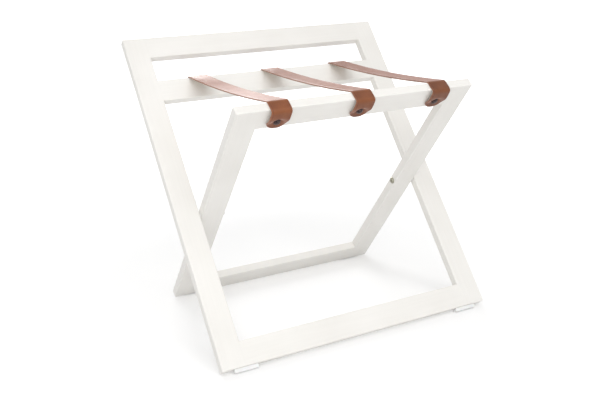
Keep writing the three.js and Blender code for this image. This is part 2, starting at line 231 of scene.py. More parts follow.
class Nodes:
    """Short ways to fill a node tree."""

    def __init__(self, tree):
        self.tree = tree

    def add(self, kind, **values):
        node = self.tree.nodes.new(kind)
        for name, value in values.items():
            setattr(node, name, value)
        return node

    def link(self, source, target):
        self.tree.links.new(source, target)

    def spread(self, factor, low_in, high_in, low, high):
        node = self.add("ShaderNodeMapRange")
        values = {"From Min": low_in, "From Max": high_in, "To Min": low, "To Max": high}
        for name, value in values.items():
            node.inputs[name].default_value = value
        self.link(factor, node.inputs["Value"])
        return node.outputs["Result"]

    def math(self, operation, first, second):
        node = self.add("ShaderNodeMath", operation=operation)
        for socket, value in zip(node.inputs, (first, second)):
            if isinstance(value, (int, float)):
                socket.default_value = value
            else:
                self.link(value, socket)
        return node.outputs["Value"]


class Shader(Nodes):
    """A material's node tree around one Principled shader."""

    def __init__(self, name):
        self.material = bpy.data.materials.new(name)
        self.material.use_nodes = True
        super().__init__(self.material.node_tree)
        self.tree.nodes.clear()
        self.principled = self.add("ShaderNodeBsdfPrincipled")
        output = self.add("ShaderNodeOutputMaterial")
        self.link(self.principled.outputs["BSDF"], output.inputs["Surface"])

    def set(self, **values):
        for name, value in values.items():
            self.principled.inputs[name.replace("_", " ")].default_value = value

    def place(self, scale=(1, 1, 1), turn=(0, 0, 0), coordinates="Object"):
        source = self.add("ShaderNodeTexCoord")
        mapping = self.add("ShaderNodeMapping")
        mapping.inputs["Rotation"].default_value = turn
        mapping.inputs["Scale"].default_value = scale
        self.link(source.outputs[coordinates], mapping.inputs["Vector"])
        return mapping.outputs["Vector"]

    def noise(self, vector, scale, detail=3.0, roughness=0.5):
        node = self.add("ShaderNodeTexNoise")
        node.inputs["Scale"].default_value = scale
        node.inputs["Detail"].default_value = detail
        node.inputs["Roughness"].default_value = roughness
        self.link(vector, node.inputs["Vector"])
        return node.outputs["Fac"]

    def cells(self, vector, scale):
        node = self.add("ShaderNodeTexVoronoi")
        node.inputs["Scale"].default_value = scale
        self.link(vector, node.inputs["Vector"])
        return node.outputs["Distance"]

    def ramp(self, factor, stops):
        node = self.add("ShaderNodeValToRGB")
        elements = node.color_ramp.elements
        while len(elements) < len(stops):
            elements.new(1.0)
        for element, (position, colour) in zip(elements, stops):
            element.position = position
            element.color = (*colour, 1.0)
        self.link(factor, node.inputs["Fac"])
        return node.outputs["Color"]

    def mix(self, factor, first, second, blend="MIX"):
        node = self.add("ShaderNodeMix", data_type="RGBA", blend_type=blend)
        for name, value in (("Factor_Float", factor), ("A_Color", first), ("B_Color", second)):
            socket = next(s for s in node.inputs if s.identifier == name)
            if isinstance(value, (int, float)):
                socket.default_value = value
            elif isinstance(value, tuple):
                socket.default_value = (*value, 1.0)
            else:
                self.link(value, socket)
        return next(s for s in node.outputs if s.identifier == "Result_Color")

    def attribute(self, name):
        node = self.add("ShaderNodeAttribute", attribute_name=name)
        return node.outputs["Fac"]

    def bump(self, height, distance, strength, normal=None):
        node = self.add("ShaderNodeBump")
        node.inputs["Distance"].default_value = distance
        node.inputs["Strength"].default_value = strength
        self.link(height, node.inputs["Height"])
        if normal is not None:
            self.link(normal, node.inputs["Normal"])
        return node.outputs["Normal"]

    def colour(self, socket):
        self.link(socket, self.principled.inputs["Base Color"])

    def roughness(self, socket):
        self.link(socket, self.principled.inputs["Roughness"])

    def normal(self, socket):
        self.link(socket, self.principled.inputs["Normal"])


# Materials

def painted_wood(name, lean, along_rail):
    """White satin paint with the grain faintly showing through, along the member it covers."""
    shader = Shader(name)
    across = GRAIN_ACROSS
    grain_scale = (GRAIN_ALONG, across, across) if along_rail else (across, across, GRAIN_ALONG)
    plain = shader.place()
    lying = shader.place(turn=(lean, 0, 0))
    stretched = shader.add("ShaderNodeVectorMath", operation="MULTIPLY")
    shader.link(lying, stretched.inputs[0])
    stretched.inputs[1].default_value = grain_scale
    grain = shader.noise(stretched.outputs["Vector"], 1.0, 4.0, 0.6)
    cloud = shader.noise(plain, 9.0, 2.0)
    peel = shader.noise(plain, 1100.0, 2.0)
    tone = shader.ramp(cloud, PAINT_TONES)
    streak = shader.spread(grain, 0.35, 0.65, 0.982, 1.0)
    shader.colour(shader.mix(1.0, tone, streak, "MULTIPLY"))
    shader.roughness(shader.spread(grain, 0.3, 0.7, 0.46, 0.36))
    coarse = shader.bump(grain, GRAIN_DEPTH, 0.5)
    shader.normal(shader.bump(peel, PEEL_DEPTH, 0.35, coarse))
    shader.set(Specular_IOR_Level=0.45, IOR=1.48)
    return shader.material


def leather_top():
    """Cognac grain leather: pores, cloudy tone, cut edge paler partly as painted light, crease, painted
    shade round studs.
    """
    shader = Shader("leather_grain")
    flat = shader.place(coordinates="UV")
    rim = shader.attribute("rim")
    bend = shader.attribute("bend")
    stud = shader.attribute("stud")
    cloud = shader.noise(flat, 38.0, 3.0, 0.55)
    pores = shader.cells(flat, 1500.0)
    fine = shader.noise(flat, 2600.0, 2.0)
    wrinkle_place = shader.place(scale=(900, 90, 1), coordinates="UV")
    wrinkle = shader.noise(wrinkle_place, 1.0, 2.0)
    tone = shader.ramp(cloud, GRAIN_TONES)
    pored = shader.mix(shader.spread(pores, 0.0, 0.55, 0.3, 0.0), tone, PORE_COLOUR)
    pulled = shader.mix(shader.math("MULTIPLY", bend, 0.2), pored, STRETCH_COLOUR)
    pressed = shader.math("MULTIPLY", shader.attribute("crease"), 0.8)
    creased = shader.mix(pressed, pulled, CREASE_COLOUR)
    # Paler raw leather along the cut edge, lightened further as painted light
    edge_and_painted_light = shader.mix(shader.spread(rim, 0.2 * MM, CUT_EDGE_RUN, 0.6, 0.0), creased, CUT_EDGE_AND_PAINTED_LIGHT_COLOUR)
    # Painted shade round each stud, over the leather that the cap presses
    stud_press_and_shade = shader.spread(stud, STUD_RADIUS, STUD_RADIUS + STUD_PRESS_AND_SHADE_WIDTH, 0.55, 0.0)
    stud_shaded = shader.mix(stud_press_and_shade, edge_and_painted_light, STUD_PRESS_AND_SHADE_COLOUR)
    # The tone attribute is each strap's dye, darker on the right-hand straps as painted shade
    shader.colour(shader.mix(1.0, stud_shaded, shader.attribute("tone"), "MULTIPLY"))
    worn = shader.math("MULTIPLY", shader.attribute("polish"), POLISH_ROUGHNESS)
    shader.roughness(shader.math("ADD", shader.spread(cloud, 0.3, 0.7, 0.44, 0.34), worn))
    pore_normal = shader.bump(pores, PORE_DEPTH, 0.45)
    fine_normal = shader.bump(fine, FINE_DEPTH, 0.3, pore_normal)
    folds = shader.math("MULTIPLY", wrinkle, bend)
    shader.normal(shader.bump(folds, WRINKLE_DEPTH, 0.6, fine_normal))
    shader.set(Specular_IOR_Level=0.5, IOR=1.4)
    shader.set(Sheen_Weight=0.8, Sheen_Roughness=0.28, Sheen_Tint=SHEEN_TINT)
    return shader.material


def leather_flesh():
    """Flesh side of the straps: pale, matt and fibrous."""
    shader = Shader("leather_flesh")
    flat = shader.place(coordinates="UV")
    fibre_place = shader.place(scale=(420, 1300, 1), coordinates="UV")
    fibre = shader.noise(fibre_place, 1.0, 5.0, 0.65)
    cloud = shader.noise(flat, 45.0, 3.0)
    tone = shader.ramp(cloud, FLESH_TONES)
    rim = shader.attribute("rim")
    # The cut edge's colour, shared with the grain side, where it is partly painted light
    edge_and_painted_light = shader.mix(shader.spread(rim, 0.3 * MM, CUT_EDGE_RUN, 0.9, 0.0), tone, CUT_EDGE_AND_PAINTED_LIGHT_COLOUR)
    shader.colour(shader.mix(shader.spread(fibre, 0.35, 0.65, 0.25, 0.0), edge_and_painted_light, FIBRE_COLOUR))
    shader.roughness(shader.spread(fibre, 0.3, 0.7, 0.95, 0.8))
    shader.normal(shader.bump(fibre, FIBRE_DEPTH, 0.8))
    shader.set(Sheen_Weight=0.3, Sheen_Roughness=0.5)
    return shader.material


def metal(name, dark, bright, roughness, scale):
    """Metal whose tone and polish change with wear."""
    shader = Shader(name)
    plain = shader.place()
    wear = shader.noise(plain, scale, 4.0, 0.6)
    fine = shader.noise(plain, scale * 9, 2.0)
    shader.colour(shader.ramp(wear, [(0.35, dark), (0.68, bright)]))
    shader.roughness(shader.spread(wear, 0.3, 0.7, roughness + 0.08, roughness - 0.08))
    shader.normal(shader.bump(fine, 0.03 * MM, 0.4))
    shader.set(Metallic=1.0)
    return shader.material


def nylon():
    """White moulded nylon with a fine spark-eroded skin."""
    shader = Shader("white_nylon")
    plain = shader.place()
    cloud = shader.noise(plain, 60.0, 2.0)
    skin = shader.noise(plain, 2200.0, 2.0)
    shader.colour(shader.ramp(cloud, [(0.3, (0.80, 0.80, 0.79)), (0.7, (0.87, 0.87, 0.86))]))
    shader.roughness(shader.spread(skin, 0.3, 0.7, 0.5, 0.4))
    shader.normal(shader.bump(skin, 0.04 * MM, 0.5))
    shader.set(Subsurface_Weight=0.05, Subsurface_Scale=1.0 * MM, IOR=1.53)
    return shader.material


def beech():
    """Plain beech of the dowels: short dark flecks along the grain."""
    shader = Shader("plain_beech")
    along = shader.place(scale=(90, 900, 900))
    fleck = shader.noise(along, 1.0, 4.0, 0.6)
    shader.colour(shader.ramp(fleck, [(0.35, (0.42, 0.26, 0.14)), (0.65, (0.60, 0.42, 0.25))]))
    shader.roughness(shader.spread(fleck, 0.3, 0.7, 0.75, 0.6))
    shader.normal(shader.bump(fleck, 0.08 * MM, 0.6))
    return shader.material


# Mesh helpers

def piece(name, mesh, body, node):
    """Object made from a mesh, riding on a body if one is given, and standing for a CAD node."""
    obj = bpy.data.objects.new(name, mesh)
    bpy.context.scene.collection.objects.link(obj)
    if body:
        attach(obj, body)
    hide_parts(node)
    return obj


def smooth(mesh):
    """Round stretches shade smoothly, and corners sharper than them stay crisp."""
    mesh.shade_smooth()
    mesh.set_sharp_from_angle(angle=SMOOTH_ANGLE)


def even_normals(obj):
    """Flat faces shade flat right up to their rounded edges."""
    modifier = obj.modifiers.new("even_normals", "WEIGHTED_NORMAL")
    modifier.keep_sharp = True


def local_extent(node, axes):
    """Lowest and highest place of a CAD node along each axis, from the pivot."""
    points = np.array([v.co for v in NODES[node].data.vertices]) - np.array(PIVOT)
    spans = points @ np.array(axes).T
    return list(zip(spans.min(0), spans.max(0)))


# Painted frames

def frame_blank(columns, rows, is_timber, low, high):
    """Closed solid of a frame in its own axes, from a grid of timber cells, with rounded edges."""
    blank = bmesh.new()
    levels = [{}, {}]
    for level, height in enumerate((low, high)):
        for i, x in enumerate(columns):
            for j, y in enumerate(rows):
                levels[level][i, j] = blank.verts.new((x, y, height))
    grid = [(i, j) for i in range(len(columns) - 1) for j in range(len(rows) - 1)]
    cells = [cell for cell in grid if is_timber(*cell)]
    for i, j in cells:
        ring = [(i, j), (i + 1, j), (i + 1, j + 1), (i, j + 1)]
        blank.faces.new([levels[1][corner] for corner in ring])
        blank.faces.new([levels[0][corner] for corner in reversed(ring)])
        for start, end, step in CELL_SIDES:
            if (i + step[0], j + step[1]) in cells:
                continue
            a = (i + start[0], j + start[1])
            b = (i + end[0], j + end[1])
            blank.faces.new([levels[0][a], levels[0][b], levels[1][b], levels[1][a]])
    loose = [v for v in blank.verts if not v.link_faces]
    bmesh.ops.delete(blank, geom=loose, context="VERTS")
    bmesh.ops.recalc_face_normals(blank, faces=blank.faces)
    rims = [e for e in blank.edges if e.calc_face_angle_signed(0) > CORNER_ANGLE]
    bmesh.ops.bevel(
        blank,
        geom=rims,
        offset=EDGE_RADIUS,
        segments=EDGE_SEGMENTS,
        profile=0.5,
        affect="EDGES",
    )
    return blank


def cut_member(blank, planes):
    """Copy of a blank, kept on the inner side of each plane and closed there."""
    member = blank.copy()
    for point, outwards in planes:
        geom = [*member.verts, *member.edges, *member.faces]
        bmesh.ops.bisect_plane(
            member,
            geom=geom,
            dist=CUT_TOLERANCE,
            plane_co=point,
            plane_no=outwards,
            clear_outer=True,
        )
        rim = [e for e in member.edges if e.is_boundary]
        bmesh.ops.contextual_create(member, geom=rim)
        bmesh.ops.holes_fill(member, edges=[e for e in member.edges if e.is_boundary])
    bmesh.ops.recalc_face_normals(member, faces=member.faces)
    if member.calc_volume(signed=True) < 0:
        bmesh.ops.reverse_faces(member, faces=member.faces)
    return member


def painted_frame(body, up, out, uprights, rails, rail_paint, upright_paint):
    """A frame's members, cut from one rounded blank so that their painted joints are flush."""
    axes = (X_AXIS, up, out)
    extents = {node: local_extent(node, axes) for node in (*uprights, *rails)}
    left, right = extents[uprights[0]], extents[uprights[1]]
    low, high = left[2]
    columns = [left[0][0], left[0][1], right[0][0], right[0][1]]
    spans = sorted(extents[rail][1] for rail in rails)
    rows = sorted({edge for span in spans for edge in span})

    def is_timber(i, j):
        middle = (rows[j] + rows[j + 1]) / 2
        return i != 1 or any(start < middle < end for start, end in spans)

    blank = frame_blank(columns, rows, is_timber, low, high)
    place = Matrix.Translation(PIVOT) @ Matrix(axes).transposed().to_4x4()
    left_joint = Vector((columns[1], 0, 0))
    right_joint = Vector((columns[2], 0, 0))
    seam = JOINT_SEAM * X_AXIS
    for node in (*uprights, *rails):
        if node == uprights[0]:
            planes = [(left_joint, X_AXIS)]
        elif node == uprights[1]:
            planes = [(right_joint, -X_AXIS)]
        else:
            below, above = extents[node][1]
            planes = [
                (left_joint + seam, -X_AXIS),
                (right_joint - seam, X_AXIS),
                (Vector((0, above + EDGE_RADIUS, 0)), Vector((0, 1, 0))),
                (Vector((0, below - EDGE_RADIUS, 0)), Vector((0, -1, 0))),
            ]
        member = cut_member(blank, planes)
        bmesh.ops.transform(member, matrix=place, verts=member.verts)
        mesh = bpy.data.meshes.new(node + "_painted")
        member.to_mesh(mesh)
        member.free()
        smooth(mesh)
        mesh.materials.append(rail_paint if node in rails else upright_paint)
        even_normals(piece(node + "_painted", mesh, body, node))
    blank.free()


# Straps

def bezier(points):
    """Points along a Bezier curve of any order, its start included and its end left out."""
    shares = np.linspace(0, 1, CURVE_SAMPLES, endpoint=False)[:, None]
    order = len(points) - 1
    total = 0
    for i, point in enumerate(points):
        weight = math.comb(order, i) * (1 - shares) ** (order - i) * shares ** i
        total = total + weight * np.asarray(point)
    return total


def row_at(distance, distances, rows):
    """Row of a table at a distance, between the two nearest rows."""
    return np.array([np.interp(distance, distances, rows[:, k]) for k in (0, 1)])


def unit(vector):
    return vector / np.linalg.norm(vector)


def smooth_step(share):
    share = min(1.0, max(0.0, share))
    return share * share * (3 - 2 * share)


class StrapRoute:
    """Middle line of a strap in the side view (Y, Z from the pivot), from rear tip to front tip."""

    def __init__(self, back_top, front_top, half_timber):
        self.back_up = np.array(BACK_UP[1:])
        self.back_out = -np.array(BACK_OUT[1:])
        self.front_up = np.array(FRONT_UP[1:])
        self.front_out = np.array(FRONT_OUT[1:])
        self.half_timber = half_timber
        self.bend_radius = EDGE_RADIUS + SEAT_GAP + STRAP_THICKNESS / 2
        inner = EDGE_RADIUS - half_timber
        back_corner = self.back_up * (back_top - EDGE_RADIUS) + self.back_out * inner
        front_corner = self.front_up * (front_top - EDGE_RADIUS) + self.front_out * inner
        chord = front_corner - back_corner
        climb = 4 * STRAP_SAG / np.linalg.norm(chord)
        chord = unit(chord)
        lift = np.array((chord[1], -chord[0]))
        back_heading = unit(climb * lift - chord)
        front_heading = unit(climb * lift + chord)
        back_lift = np.array((-back_heading[1], back_heading[0]))
        front_lift = np.array((front_heading[1], -front_heading[0]))
        back_axes = (self.back_up, self.back_out)
        front_axes = (self.front_up, self.front_out)
        rear = self.strap_end(*back_axes, back_top, back_heading, back_lift, STRAP_TAIL - REAR_TRIM)
        front = self.strap_end(*front_axes, front_top, front_heading, front_lift, STRAP_TAIL)
        start, end = rear[0][0], front[0][0]
        lowest = (start + end) / 2 - lift * climb * np.linalg.norm(end - start) / 2
        rear_points = [bezier(curve[::-1]) for curve in rear[::-1]]
        front_points = [bezier(curve) for curve in front]
        span_points = bezier([start, lowest, end])
        chain = [*rear_points, span_points, *front_points, np.array([front[-1][-1]])]
        self.points = np.vstack(chain)
        steps = np.linalg.norm(np.diff(self.points, axis=0), axis=1)
        self.lengths = np.concatenate([[0], np.cumsum(steps)])
        self.total = self.lengths[-1]
        marks = np.cumsum([len(part) for part in chain])[:-1]
        self.breaks = [0, *(self.lengths[mark] for mark in marks)]
        self.span_start = self.breaks[len(rear)]
        self.span_end = self.breaks[len(rear) + 1]

    def strap_end(self, up, out, top, heading, lift, tail):
        """Curves of one end: over the rail's inner corner, over its top, in to its face, to the tip."""
        flat = self.half_timber + SEAT_GAP + STRAP_THICKNESS / 2
        proud = self.half_timber + NOSE_STAND_OFF + STRAP_THICKNESS / 2

        def place(height, distance):
            return up * (top + height) + out * distance

        corner = place(-EDGE_RADIUS, EDGE_RADIUS - self.half_timber)
        turn = math.acos(float(heading @ out))
        start = corner + lift * self.bend_radius - heading * FOLD_EASE
        shoulder = corner + up * self.bend_radius + out * FOLD_EASE
        fold_radius = self.bend_radius + FOLD_EASE / math.tan(turn / 2)
        pull = 4 / 3 * math.tan(turn / 4) * fold_radius
        crest = place(-NOSE_DROP, proud)
        seat = place(-LOOSE_SEAT, flat)
        tip = place(-tail, flat)
        sway = (LOOSE_SEAT - NOSE_DROP) / 2
        return [
            [start, start + heading * pull, shoulder - out * pull, shoulder],
            [shoulder, shoulder + out * NOSE_REACH, place(NOSE_LIFT, proud), crest],
            [crest, crest - up * sway, seat + up * sway, seat],
            [seat, tip],
        ]

    @lru_cache(maxsize=None)
    def at(self, distance):
        """Place, direction and outward normal at a distance from the rear tip."""
        place = row_at(distance, self.lengths, self.points)
        ahead = row_at(distance + HEADING_REACH, self.lengths, self.points)
        behind = row_at(distance - HEADING_REACH, self.lengths, self.points)
        along = unit(ahead - behind)
        return place, along, np.array((along[1], -along[0]))

    @lru_cache(maxsize=None)
    def bend(self, distance):
        """Share of the tightest bend, 0 on straight stretches."""
        _, before, _ = self.at(max(distance - BEND_REACH, 0))
        _, after, _ = self.at(min(distance + BEND_REACH, self.total))
        turn = math.acos(max(-1.0, min(1.0, float(before @ after))))
        return min(1.0, turn / TIGHT_TURN)

    def tip_distance(self, distance):
        """Distance from the nearer end's tip, as it was before the rear one was trimmed."""
        return min(distance + REAR_TRIM, self.total - distance)

    def slack(self, distance):
        """Step from lying flat on the nearer end's rail face out to the strap's own place."""
        out = self.front_out if distance > self.total / 2 else self.back_out
        flat = self.half_timber + SEAT_GAP + STRAP_THICKNESS / 2
        return out * (self.at(distance)[0] @ out - flat)

    def stations(self):
        """Distances of the strap's rows between its two round tongues, finer where it bends."""
        places = [TONGUE_RADIUS]
        end_steps = [BEND_STEP, NOSE_STEP, NOSE_STEP, TAIL_STEP]
        for limit, step in zip(self.breaks[1:], [*end_steps[::-1], SPAN_STEP, *end_steps]):
            start = places[-1]
            run = min(limit, self.total - TONGUE_RADIUS) - start
            if run > 0:
                count = max(1, round(run / step))
                places.extend(start + run * (k + 1) / count for k in range(count))
        return places


def edge_height(rim):
    """Half thickness of the leather at a distance from its cut edge, whose corners are broken."""
    inside = min(rim / EDGE_BREAK, 1.0)
    return STRAP_THICKNESS / 2 * (1 - (1 - inside) ** 3) ** (1 / 3)


def crease_share(rim):
    """Share of the creased line's depth at a distance from the cut edge."""
    return math.exp(-((rim - CREASE_INSET) / CREASE_WIDTH) ** 2)


class StrapMesh:
    """Strap with round tongues as quads, sharing the points that fall together."""

    def __init__(self, route):
        self.route = route
        self.index = {}
        self.rows = []
        self.faces = []
        self.undersides = []

    def vertex(self, s, t, rim, side):
        height = 0.0 if rim == 0 else side * edge_height(rim)
        key = tuple(round(value * GRID_STEPS_PER_METRE) for value in (s, t, height))
        if key not in self.index:
            self.index[key] = len(self.rows)
            stud = math.hypot(self.route.tip_distance(s) - (STRAP_TAIL - STUD_DROP), t)
            if side > 0 and rim > 0:
                height -= CREASE_DEPTH * crease_share(rim)
            self.rows.append((s, t, height, rim, stud))
        return self.index[key]

    def quad(self, corners, side):
        ring = [self.vertex(*corner, side) for corner in corners]
        if side < 0:
            ring.reverse()
        self.faces.append(ring)
        self.undersides.append(side < 0)

    def outline(self, station, rim):
        """Place of an outline point on the right, drawn in from the edge by rim."""
        end, share, s = station
        half = STRAP_WIDTH / 2
        if end is None:
            return s, half - rim
        angle = share * math.pi / 2
        radius = TONGUE_RADIUS - rim
        depth = TONGUE_RADIUS - radius * math.cos(angle)
        width = half - TONGUE_RADIUS + radius * math.sin(angle)
        return (depth if end == 0 else self.route.total - depth), width

    def build(self):
        shares = [k / TONGUE_STATIONS for k in range(TONGUE_STATIONS)]
        rear = [(0, share, 0) for share in shares]
        front = [(1, share, 0) for share in reversed(shares)]
        stations = [*rear, *((None, 0, s) for s in self.route.stations()), *front]
        last = RIM_STEPS[-1]
        columns = [2 * k / INNER_COLUMNS - 1 for k in range(INNER_COLUMNS + 1)]
        for side in (1, -1):
            for here, there in zip(stations, stations[1:]):
                self.edge_bands(here, there, side)
                s0, t0 = self.outline(here, last)
                s1, t1 = self.outline(there, last)
                for a, b in zip(columns, columns[1:]):
                    ring = [(s0, t0 * a), (s1, t1 * a), (s1, t1 * b), (s0, t0 * b)]
                    self.quad([(*corner, last) for corner in ring], side)
            self.tip_bands(stations[0], columns, side)
            self.tip_bands(stations[-1], columns, side)
        return self

    def edge_bands(self, here, there, side):
        for outer, inner in zip(RIM_STEPS, RIM_STEPS[1:]):
            a, b = self.outline(here, inner), self.outline(there, inner)
            c, d = self.outline(there, outer), self.outline(here, outer)
            ring = [(*a, inner), (*b, inner), (*c, outer), (*d, outer)]
            self.quad(ring, side)
            self.quad([(s, -t, rim) for s, t, rim in reversed(ring)], side)

    def tip_bands(self, station, columns, side):
        at_front = station[0] == 1
        for outer, inner in zip(RIM_STEPS, RIM_STEPS[1:]):
            s0, t0 = self.outline(station, outer)
            s1, t1 = self.outline(station, inner)
            for a, b in zip(columns, columns[1:]):
                inner_corners = [(s1, t1 * a, inner), (s1, t1 * b, inner)]
                ring = [(s0, t0 * a, outer), *inner_corners, (s0, t0 * b, outer)]
                self.quad(ring[::-1] if at_front else ring, side)

    def place(self, s, t, height, stud):
        """Place in the side view: loose ends cup up at their edges, and the stud pulls them in."""
        point, _, normal = self.route.at(s)
        cup = CUP_LIFT * math.exp(-((self.route.tip_distance(s) - CUP_PLACE) / CUP_WIDTH) ** 2)
        loose = smooth_step((stud - DIMPLE_RADIUS) / DIMPLE_RUN)
        raised = point + normal * (height + cup * (2 * t / STRAP_WIDTH) ** 2)
        return raised if loose == 1 else raised - self.route.slack(s) * (1 - loose)

    def polished(self, s):
        """Share of the polish that cases have rubbed on the strap between the rails."""
        inside = min(s - self.route.span_start, self.route.span_end - s)
        return smooth_step(0.5 + inside / POLISH_RUN)

    def to_mesh(self, name, middle, tone, polish):
        """Mesh of the strap, with a flat layout and the values that the finish reads."""
        places = []
        for s, t, height, _, stud in self.rows:
            y, z = self.place(s, t, height, stud)
            places.append((middle + t, PIVOT.y + y, PIVOT.z + z))
        mesh = bpy.data.meshes.new(name)
        mesh.from_pydata(places, [], self.faces)
        layout = mesh.uv_layers.new(name="flat")
        for loop in mesh.loops:
            s, t = self.rows[loop.vertex_index][:2]
            layout.data[loop.index].uv = (s, t)
        values = {
            "rim": [row[3] for row in self.rows],
            "stud": [row[4] for row in self.rows],
            "crease": [crease_share(row[3]) for row in self.rows],
            "bend": [self.route.bend(row[0]) for row in self.rows],
            # Strap tone: its dye, darker towards the right as painted shade
            "tone": [tone] * len(self.rows),
            "polish": [polish * self.polished(row[0]) for row in self.rows],
        }
        for label, numbers in values.items():
            mesh.attributes.new(label, "FLOAT", "POINT").data.foreach_set("value", numbers)
        mesh.polygons.foreach_set("material_index", [int(under) for under in self.undersides])
        mesh.shade_smooth()
        return mesh


def strap(side, shape, weights, materials):
    """Leather strap with an end on each frame and a span that bends between them."""
    name = side + "_leather_strap"
    low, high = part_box(side + "_strap")
    mesh = shape.to_mesh(name, (low.x + high.x) / 2, STRAP_DYE_AND_SHADE[side], STRAP_POLISH[side])
    for material in materials:
        mesh.materials.append(material)
    obj = piece(name, mesh, None, side + "_strap")
    span = (shape.route.span_start, shape.route.span_end)
    start, end = (PIVOT + Vector((0, *shape.route.at(s)[0])) for s in span)
    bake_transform(obj, "back_frame", "front_frame", start=start, end=end)
    mesh.attributes["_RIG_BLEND"].data.foreach_set("value", weights)


class FoldedStrap:
    """How a strap hangs between the closed frames, each point as far from the pivot as at rest."""

    def __init__(self, route, back_top, front_top):
        self.route = route
        self.samples = np.linspace(route.span_start, route.span_end, FOLD_SAMPLES)
        points = np.array([route.at(s)[0] for s in self.samples])
        radii = np.linalg.norm(points, axis=1)
        lowest = int(np.argmin(radii))
        middle = (OPEN_ANGLE - FOLD_TRAVEL) / 2
        turn = radii[lowest] * (middle - self.layer_angle(radii[lowest], back_top))
        angles = []
        for index, radius in enumerate(radii):
            layer = self.layer_angle(radius, back_top if index < lowest else front_top)
            depth = min(1.0, (radius - radii[lowest]) / turn)
            away = (middle - layer) * math.sqrt(1 - (1 - depth) ** 2)
            angles.append(middle - away if index < lowest else middle + away)
        self.forward = np.array(BACK_OUT[1:])
        self.upward = np.array(BACK_UP[1:])
        upward_part = np.outer(radii * np.cos(angles), self.upward)
        turned = upward_part + np.outer(radii * np.sin(angles), self.forward)
        along = np.gradient(turned, axis=0)
        along = along / np.linalg.norm(along, axis=1)[:, None]
        self.points = turned
        self.normals = np.stack([along[:, 1], -along[:, 0]], axis=1)

    def layer_angle(self, radius, top):
        """Angle at the pivot between a frame's plane and the strap on its rail's inner face."""
        bend = self.route.bend_radius
        flat = self.route.half_timber - EDGE_RADIUS
        height = top - EDGE_RADIUS
        if radius > math.hypot(height, flat + bend):
            corner = math.hypot(height, flat)
            level = (radius ** 2 - height ** 2 - flat ** 2 - bend ** 2) / (2 * bend * corner)
            turn = math.atan2(flat, height) + math.acos(min(1.0, level))
            return math.atan2(flat + bend * math.sin(turn), height + bend * math.cos(turn))
        ease = smooth_step((top - RAIL_WIDTH - radius) / LOOP_RUN)
        return math.asin((flat + bend + (LOOP_INSET - flat - bend) * ease) / radius)

    def angle(self, point):
        return math.atan2(float(point @ self.forward), float(point @ self.upward))

    def weight(self, s, height):
        """Share of the fold that a point of the strap turns through."""
        if s <= self.route.span_start:
            return 0.0
        if s >= self.route.span_end:
            return 1.0
        point, _, normal = self.route.at(s)
        place = row_at(s, self.samples, self.points)
        across = row_at(s, self.samples, self.normals)
        turned = self.angle(place + unit(across) * height)
        return (self.angle(point + normal * height) - turned) / FOLD_TRAVEL


# Studs and bolts

def round_ring(angle):
    """Radius of a circle at any angle, as a share of its own."""
    return 1.0


def hexagon_ring(angle):
    """Radius of a hexagon at an angle, as a share of its corners' radius."""
    sixth = math.pi / 3
    return math.cos(sixth / 2) / math.cos(angle % sixth - sixth / 2)


def turned_piece(name, profile, base, axis):
    """Mesh turned about an axis, from (ring, radius, height) steps that start and end on it."""
    shape = bmesh.new()
    rings = []
    for ring, radius, height in profile:
        count = ROUND_SIDES if radius else 1
        points = []
        for turn in [2 * math.pi * k / ROUND_SIDES for k in range(count)]:
            reach = radius * ring(turn)
            points.append(shape.verts.new((reach * math.cos(turn), reach * math.sin(turn), height)))
        rings.append(points)
    for lower, upper in zip(rings, rings[1:]):
        for k in range(ROUND_SIDES):
            low_pair = [lower[i % len(lower)] for i in (k, k + 1)]
            high_pair = [upper[i % len(upper)] for i in (k + 1, k)]
            shape.faces.new(list(dict.fromkeys(low_pair + high_pair)))
    bmesh.ops.recalc_face_normals(shape, faces=shape.faces)
    place = Matrix.Translation(base) @ axis.to_track_quat("Z", "Y").to_matrix().to_4x4()
    bmesh.ops.transform(shape, matrix=place, verts=shape.verts)
    mesh = bpy.data.meshes.new(name)
    shape.to_mesh(mesh)
    shape.free()
    smooth(mesh)
    return mesh


def dome(radius, base, height, inner=0.0):
    """Steps of a dome from its rim up to an inner radius."""
    last = math.acos(inner / radius)
    turns = [last * k / DOME_RINGS for k in range(DOME_RINGS + 1)]
    steps = [(round_ring, radius * math.cos(a), base + height * math.sin(a)) for a in turns]
    if not inner:
        steps[-1] = (round_ring, 0, base + height)
    return steps


def stud(node, body, up, out, finish):
    """Cap stud: turned-down rim under a low dome."""
    (left, right), (low, high), (tip, crown) = local_extent(node, (X_AXIS, up, out))
    base = PIVOT + X_AXIS * (left + right) / 2 + up * (low + high) / 2 + out * (crown - STUD_HEIGHT)
    length = crown - STUD_HEIGHT - tip
    profile = [
        (round_ring, 0, -length),
        (round_ring, STUD_SHANK, STUD_SHANK - length),
        (round_ring, STUD_SHANK, 0),
        (round_ring, STUD_RADIUS, 0),
        (round_ring, STUD_RADIUS, STUD_WALL),
        (round_ring, STUD_RADIUS - STUD_RIM_INSET, STUD_RIM),
        *dome(STUD_DOME_RADIUS, STUD_DOME_BASE, STUD_HEIGHT - STUD_DOME_BASE),
    ]
    mesh = turned_piece(node + "_cap", profile, base, out)
    mesh.materials.append(finish)
    piece(node + "_cap", mesh, body, node)


